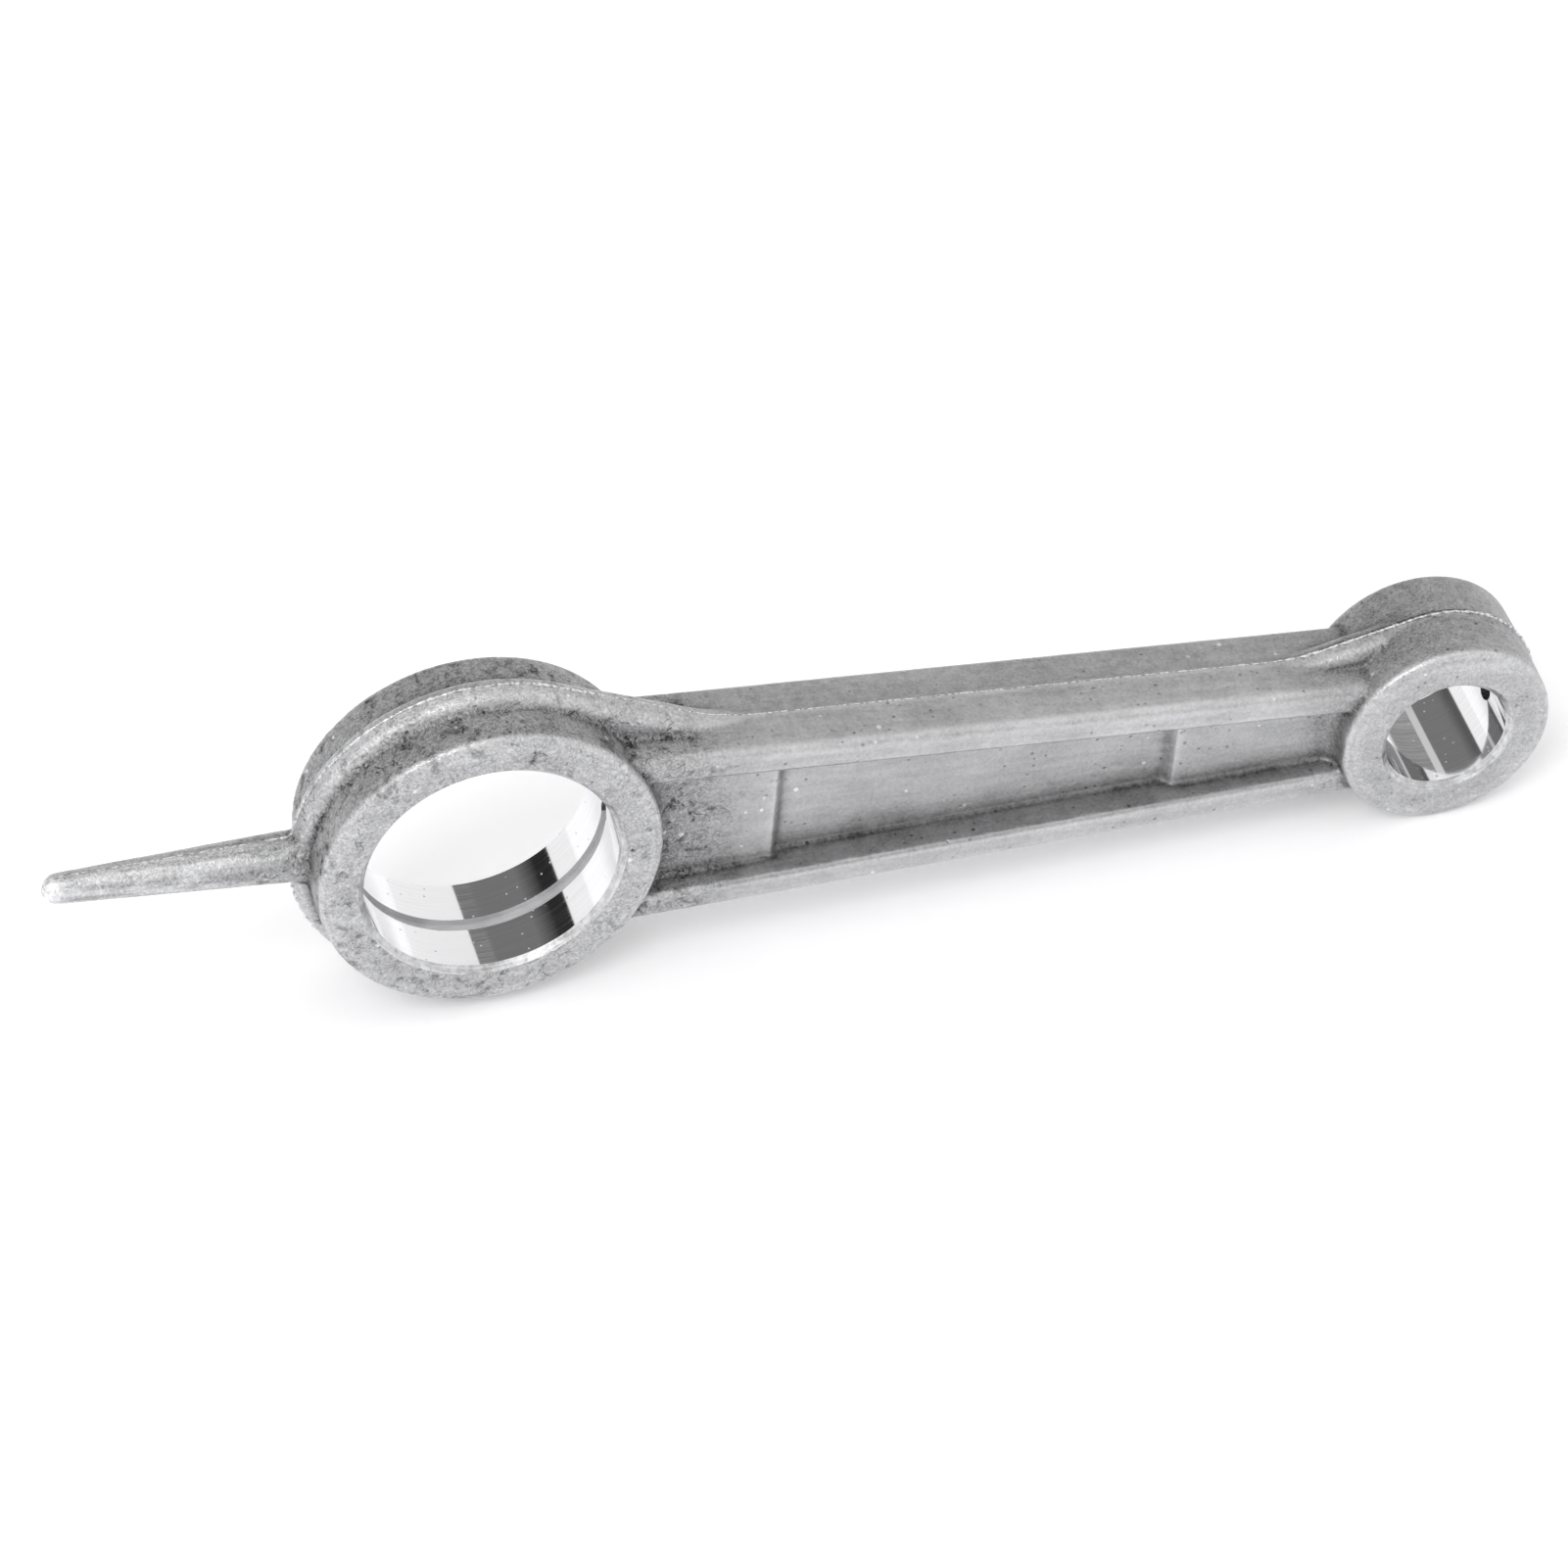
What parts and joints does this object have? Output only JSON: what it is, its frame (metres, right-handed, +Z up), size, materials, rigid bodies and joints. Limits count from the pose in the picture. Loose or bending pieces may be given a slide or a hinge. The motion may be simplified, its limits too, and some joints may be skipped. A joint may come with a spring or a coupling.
{
  "type": "connecting rod",
  "caption": "Cast I-beam rod joining a crankpin to a piston's wrist pin, with a bored eye at each end and a tapered oil dipper.",
  "frame": {"origin": "crankpin bore axis, at the middle of the rod's width", "axes": "+X from the crankpin bore to the wrist-pin bore, Y along both bores with the front face at -Y, +Z up across the rod"},
  "size_m": [0.2401, 0.02, 0.0592],
  "materials": {
    "cast_aluminium": "as-cast die casting, dull and slightly pitted, with bright turned bores"
  },
  "bodies": {
    "root": {"rod_casting": "cast_aluminium"}
  },
  "joints": []
}
